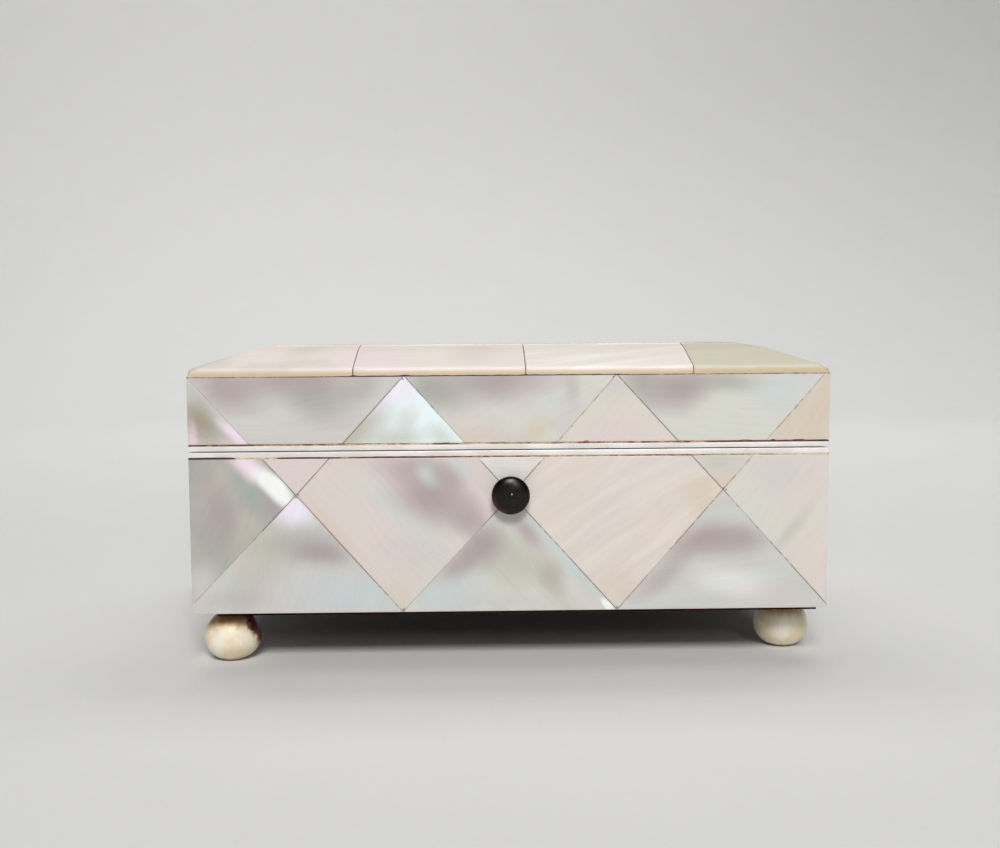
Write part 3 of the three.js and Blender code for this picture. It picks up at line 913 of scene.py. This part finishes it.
def whiteMetal():
    # rolled strip: fine lines along it, dulled in places
    shader = Shader("white_metal")
    here = shader.place()
    cloud = shader.noise(here, (0.2, 0.2, 0.5))
    grain = shader.noise(here, (0.3, 0.3, 12.0), detail=2.0)
    colour = shader.over(linear(226, 221, 217), linear(239, 236, 234), cloud, 0.35, 0.65)
    spot = shader.noise(here, (1.1, 1.1, 3.0))
    colour = shader.over(colour, linear(150, 124, 96), spot, 0.66, 0.76, 0.25)
    return shader.finish({
        "Base Color": colour,
        "Metallic": 0.15,
        "Roughness": edgingShape["roughness"] + cloud * 0.12,
        "Normal": shader.bump(grain, 0.1, 0.00005),
    })


def glueBead():
    # dried glue, pale where it is thin and dark where it has run
    shader = Shader("old_glue")
    here = shader.place()
    dash = shader.noise(here, (1.3, 1.3, 2.5), detail=4.0, rough=0.65)
    age = shader.node("Attribute", {"attribute_name": "age"}, out="Fac")
    colour = shader.node("ValToRGB", {"stops": [
        (0.0, linear(226, 216, 202)), (0.34, linear(196, 166, 126)), (0.62, linear(124, 74, 38)),
        (0.95, linear(62, 34, 22)),
    ]}, {"Fac": age + (dash - 0.5) * 1.3})
    return shader.finish({
        "Base Color": colour,
        "Roughness": 0.5 + dash * 0.2,
        "Normal": shader.bump(dash, 0.4, 0.0001),
    })


def makeEdging():
    metal, glue = whiteMetal(), glueBead()
    depth, arris, cover = edgingShape["depth"], edgingShape["arris"], edgingShape["cover"]
    count = edgingShape["stations"]
    travel = np.arange(4 * count) / (4 * count) * 2 * np.pi
    for node, low, high, seed in (
        ("base_edging", baseEdgingLow[2] - cover, baseEdgingHigh[2], 0.4),
        ("lid_edging", edgingLow[2], edgingHigh[2] + cover, 2.1),
    ):
        wave = edgingShape["wave"] * (1 + np.sin(5 * travel + seed) * np.sin(13 * travel + 2 * seed))
        bend = 0.3 * arris
        inward = np.array([depth, arris, bend, 0, 0, bend, arris, depth])
        up = np.array([low, low, low + bend, low + arris, high - arris, high - bend, high, high])
        outer = inward < 1
        places, faces = loopSkin(framePath(inward + wave[:, None] * outer, up, count))
        newPiece(f"{node}_strip", places, faces, [metal], [node])
    onFront = np.arange(4 * count) < count
    x = leftX + (np.arange(4 * count) % count) / count * (rightX - leftX)
    for seed, (name, look) in enumerate(glueLooks.items()):
        bumpy = 0.5 + 0.5 * np.sin(61 * travel + seed) * np.sin(143 * travel + 2 * seed)
        lumps = sum(tall * np.exp(-((x - where) / wide) ** 4) for where, wide, tall in look["lumps"])
        start, end, extra = look["thick"]
        lumps = lumps + extra * ((x > start) & (x < end))
        rise = np.where(onFront, lumps * (0.6 + 0.6 * bumpy), 0.0) + look["thin"] * bumpy
        stand = np.where(onFront, 0.015 + 0.2 * lumps, 0.0)
        low, high = look["below"] - 0.02, look["above"] + rise
        middle = (low + high) / 2
        ends = np.ones(4 * count)
        inward = np.stack([ends, 0.06 * ends, -stand, -stand, 0.06 * ends, ends], -1)
        up = np.stack([low * ends, low * ends, (low + middle) / 2, (high + middle) / 2, high, high], -1)
        places, faces = loopSkin(framePath(inward, up, count))
        places[:, 0] = places[:, 0].clip(leftX, rightX)
        piece = newPiece(name, places, faces, [glue], sharpAngle=80)
        frontAge = np.interp(x, *np.array(look["age"]).T)
        age = np.where(onFront, frontAge, 0.45 + 0.2 * np.sin(9 * travel + seed))
        addAttribute(piece, "age", np.repeat(age, inward.shape[1]))


makeEdging()
print("edging made")


# Knob

knobShape = {
    "sides": 96,
    # radius, and distance from the box's face
    "neck": [(0.3, 0.0), (1.3, 0.0), (1.38, 0.1), (1.38, 0.72), (1.46, 0.8)],
    "rim": [(-0.16, 1.19), (-0.03, 1.27), (0.0, 1.36)],  # the same, from the head's own radius
    "crownStart": 1.58,
    "crownRise": 0.8,
    "crownTurn": 1.45,  # radians, short of a quarter
    "tip": [(0.26, -0.12), (0.2, -0.03), (0.1, 0.0)],  # radius, distance from the outermost point
    "ringWaves": 26.0,  # radians for each mm
    # offset that centres the painted highlight on the tip's pip, 0.12 mm right of the axis and 0.28 mm
    # above it
    "tipHighlight": (-0.12, 0, -0.28),
}


def ebony():
    # stained black, with turning rings, a red-brown painted reflection on the rim's lower left and a small
    # painted highlight on the tip
    shader = Shader("ebony")
    here = shader.place()
    low, high = boxOf("knob")
    middle = (low + high) / 2
    fromAxis = shader.scaled(shader.vector("SUBTRACT", here, tuple(middle)), (1, 0, 1))
    radius = shader.vector("LENGTH", fromAxis, out="Value")
    rings = shader.node("Math", {"operation": "SINE"}, {0: radius * knobShape["ringWaves"]})
    scratch = shader.noise(here, 1.2, detail=4.0)
    # painted reflection: red-brown on the outer rim towards the lower left, broken up by the scratch noise
    rim = shader.ease(radius, 1.75, 2.5) * shader.ease(scratch, 0.35, 0.65)
    lower = shader.ease(shader.axis(fromAxis, (-0.5, 0, -0.8)), 0.2, 2.2)
    colour = shader.over(linear(5, 4, 3), linear(14, 10, 8), scratch, 0.3, 0.7)
    colour = shader.blend((rim * lower * 0.8).smaller(1.0), colour, linear(92, 44, 30))
    # painted highlight: a small pale dot on the tip
    spot = shader.vector("LENGTH", shader.vector("ADD", fromAxis, knobShape["tipHighlight"]), out="Value")
    colour = shader.blend(shader.ease(spot, 0.05, 0.12, 1.0, 0.0), colour, linear(214, 192, 178))
    return shader.finish({
        "Base Color": colour,
        "Specular IOR Level": 0.3,
        "Roughness": 0.2 + scratch * 0.16,
        "Normal": shader.bump(rings * 0.12 + scratch, 0.2, 0.00005),
    })


def makeKnob():
    low, high = boxOf("knob")
    middle = (low + high) / 2
    reach = high[1] - low[1]
    head = (high[0] - low[0]) / 2
    angle = np.linspace(0, knobShape["crownTurn"], 14)
    rise = knobShape["crownRise"] * np.sin(angle) / np.sin(knobShape["crownTurn"])
    profile = np.concatenate([
        knobShape["neck"],
        np.array(knobShape["rim"]) + [head, 0],
        np.stack([head * np.cos(angle), knobShape["crownStart"] + rise], -1),
        np.array(knobShape["tip"]) + [0, reach],
    ])
    rings = turnedRings(profile, (middle[0], high[1], middle[2]), (0, -1, 0), knobShape["sides"])
    places, faces = ringSkin(rings)
    newPiece("knob_turned", places, faces, [ebony()], ["knob"], sharpAngle=50)


makeKnob()
print("knob made")


# Ball feet

footShape = {
    "sides": 64,
    "centre": 2.95,  # height of the ball's middle
    "sole": 1.5,  # radius of the worn flat that it stands on
    "top": 1.0,
    "sag": 0.02,  # how far the ball strays from round, as a share
}

footLooks = {
    # share of the stain at the top and how low it comes; direction and share of the stain at the side
    "foot_front_left": {"stain": 0.9, "top": 0.64, "side": (0.9, 0.1, 0.5), "sideShare": 1.0, "seed": 1},
    "foot_front_right": {"stain": 0.85, "top": 0.67, "side": (-1.0, 0.2, 0.3), "sideShare": 0.3, "seed": 2},
    "foot_back_left": {"stain": 0.8, "top": 0.75, "side": (0.3, 0.9, 0.2), "sideShare": 0.5, "seed": 3},
    "foot_back_right": {"stain": 0.8, "top": 0.75, "side": (0.6, -0.7, 0.3), "sideShare": 0.5, "seed": 4},
}


def bone(name, middle, radius, look):
    # ivory-coloured, with glue stain from the top down and fine grain up the ball
    shader = Shader(name)
    here = shader.vector("SUBTRACT", shader.place(), tuple(middle))
    towards = shader.scaled(here, 1 / radius)
    offset = (look["seed"] * 11.0, 0.0, 0.0)
    moved = shader.vector("ADD", here, offset)
    cloud = shader.noise(moved, 0.35)
    grain = shader.noise(moved, (3.0, 3.0, 0.5))
    ragged = shader.noise(moved, 1.1, detail=4.0, rough=0.6)
    colour = shader.over(linear(248, 240, 222), linear(234, 218, 184), cloud, 0.35, 0.65)
    colour = shader.over(colour, linear(204, 180, 142), grain, 0.55, 0.75, 0.25)
    height = shader.axis(towards, (0, 0, 1)) + (ragged - 0.5) * 0.5
    topStain = shader.ease(height, look["top"] - 0.34, look["top"] + 0.16) * look["stain"]
    sideways = Vector(look["side"]).normalized()
    near = shader.axis(towards, tuple(sideways)) + (ragged - 0.5) * 0.5
    sideStain = shader.ease(near, 0.58, 0.86) * look["sideShare"]
    sole = shader.ease(shader.axis(towards, (0, 0, 1)) + (ragged - 0.5) * 0.2, -0.72, -0.6, 0.55, 0.0)
    stain = topStain.larger(sideStain).larger(sole)
    dark = sideStain.larger(topStain * 0.6).larger(sole)
    stainTone = shader.blend(dark, linear(204, 138, 70), linear(84, 34, 12))
    colour = shader.blend(stain, colour, stainTone)
    return shader.finish({
        "Base Color": colour,
        "Roughness": 0.36 + ragged * 0.15,
        "Normal": shader.bump(grain + ragged, 0.15, 0.0001),
        "Coat Weight": 0.15,
        "Coat Roughness": 0.25,
    })


def quarter(ball, flat, height, steps):
    # from the ball's widest ring to the flat, at its true height
    end = math.acos(flat / ball)
    angle = np.linspace(0, end, steps)
    return np.stack([ball * np.cos(angle), height * np.sin(angle) / math.sin(end)], -1)


def makeFeet():
    for node, look in footLooks.items():
        low, high = boxOf(node)
        centre, sides = footShape["centre"], footShape["sides"]
        middle, ball = [*(low + high)[:2] / 2, centre], (high[0] - low[0]) / 2
        lower = quarter(ball, footShape["sole"], centre, 18)[::-1] * [1, -1]
        upper = quarter(ball, footShape["top"], high[2] - centre, 22)[1:]
        profile = np.concatenate([[(0.5, -centre)], lower, upper, [(0.4, high[2] - centre)]])
        rings = turnedRings(profile, middle, (0, 0, 1), sides)
        angle = np.arange(sides) * 2 * np.pi / sides
        height = (rings[:, :, 2] - centre) / centre
        dent = np.sin(2 * angle + look["seed"]) * np.cos(2.2 * height + look["seed"]) - 1  # never outwards
        side = rings[:, :, :2] - middle[:2]
        rings[:, :, :2] = middle[:2] + side * (1 + 0.35 * footShape["sag"] * dent[..., None])
        places, faces = ringSkin(rings)
        material = bone(f"bone_{node[5:]}", middle, ball, look)
        newPiece(f"{node}_ball", places, faces, [material], [node], sharpAngle=60)


makeFeet()
print("feet made")


# Wood

def rosewood():
    # dark red-brown, with grain along the box
    shader = Shader("rosewood")
    here = shader.place()
    grain = shader.noise(here, (0.05, 0.9, 0.9), detail=4.0, bend=0.6)
    pores = shader.noise(here, (0.3, 6.0, 6.0), detail=2.0)
    colour = shader.over(linear(38, 17, 11), linear(72, 36, 24), grain, 0.35, 0.65)
    colour = shader.over(colour, linear(28, 12, 8), pores, 0.6, 0.75, 0.6)
    return shader.finish({
        "Base Color": colour,
        "Roughness": 0.7 + grain * 0.15,
        "Specular IOR Level": 0.05,
        "Normal": shader.bump(pores + grain, 0.3, 0.0001),
    })


def dressWood():
    wood = rosewood()
    for node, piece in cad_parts.items():
        if node.endswith("board"):
            for slot in piece.material_slots:
                slot.material = wood


dressWood()
print("wood dressed")


# Floor and light

sweep = {"inner": [0.02, 0.1, 0.25], "floor": 0.5, "bend": 0.4, "height": 0.5}  # metres
paper = {"tone": (219, 219, 218), "mottle": 0.035}


def makeSweep():
    # a floor that turns up into a wall all round: a profile turned about the middle of the box
    angle = np.linspace(0, np.pi / 2, 24)
    bend = sweep["bend"]
    profile = np.concatenate([
        [(radius, 0.0) for radius in [*sweep["inner"], sweep["floor"]]],
        np.stack([sweep["floor"] + bend * np.sin(angle), bend * (1 - np.cos(angle))], -1)[1:],
        [(sweep["floor"] + bend, sweep["height"])],
    ])
    rings = turnedRings(profile / mm, (0, 0, 0), (0, 0, 1), 96)
    grid, after = numbered(rings)
    faces = [*between(grid, after).tolist(), grid[0].tolist()[::-1]]
    mesh = bpy.data.meshes.new("floor")
    mesh.from_pydata(rings.reshape(-1, 3) * mm, [], faces)
    mesh.shade_smooth()
    shader = Shader("pale_paper")
    here = shader.place()
    mottle = shader.noise(here, 0.06, detail=5.0, rough=0.6)
    grain = shader.noise(here, 0.8, rough=0.7)
    tone = linear(*paper["tone"])[:3]
    pale, dull = ((*(part * (1 + side * paper["mottle"]) for part in tone), 1.0) for side in (1, -1))
    colour = shader.blend(mottle * 0.5 + grain * 0.5, dull, pale)
    matt = {"Base Color": colour, "Roughness": 1.0, "Specular IOR Level": 0.0}
    mesh.materials.append(shader.finish(matt))
    floor = addObject("floor", mesh)


lights = {
    # place and what it faces in metres, width and depth, power in watts, spread in degrees, colour
    "front": ((0.02, -0.75, 0.66), (0, -0.03, 0.02), 0.34, 0.26, 3.0, 120, (1.0, 0.99, 0.975)),
    "window": ((0.17, -0.64, 0.30), (0, -0.03, 0.02), 0.10, 0.12, 0.35, 180, (1.0, 1.0, 1.0)),
    "wall": ((-0.16, 0.42, 0.80), (-0.10, 0.95, 0.22), 0.8, 0.4, 1.45, 115, (1.0, 0.99, 0.97)),
    "over": ((0.03, 0.27, 0.60), (0.03, 0.31, 0.0), 0.9, 0.3, 1.45, 120, (1.0, 1.0, 1.0)),
}
worldLight = {"colour": (0.93, 0.96, 1.0), "strength": 0.05}


def makeLights():
    for name, (place, target, width, depth, power, spread, colour) in lights.items():
        lamp = bpy.data.lights.new(name, "AREA")
        lamp.shape = "RECTANGLE"
        lamp.size, lamp.size_y = width, depth
        lamp.energy, lamp.color = power, colour
        lamp.spread = math.radians(spread)
        holder = addObject(name, lamp)
        holder.location = place
        holder.rotation_euler = (Vector(target) - Vector(place)).to_track_quat("-Z", "Y").to_euler()
    world = bpy.data.worlds.new("soft light")
    world.use_nodes = True
    background = world.node_tree.nodes["Background"]
    background.inputs["Color"].default_value = (*worldLight["colour"], 1.0)
    background.inputs["Strength"].default_value = worldLight["strength"]
    bpy.context.scene.world = world
    bpy.context.scene.view_settings.view_transform = "Standard"


makeSweep()
makeLights()
print("floor and lights made")
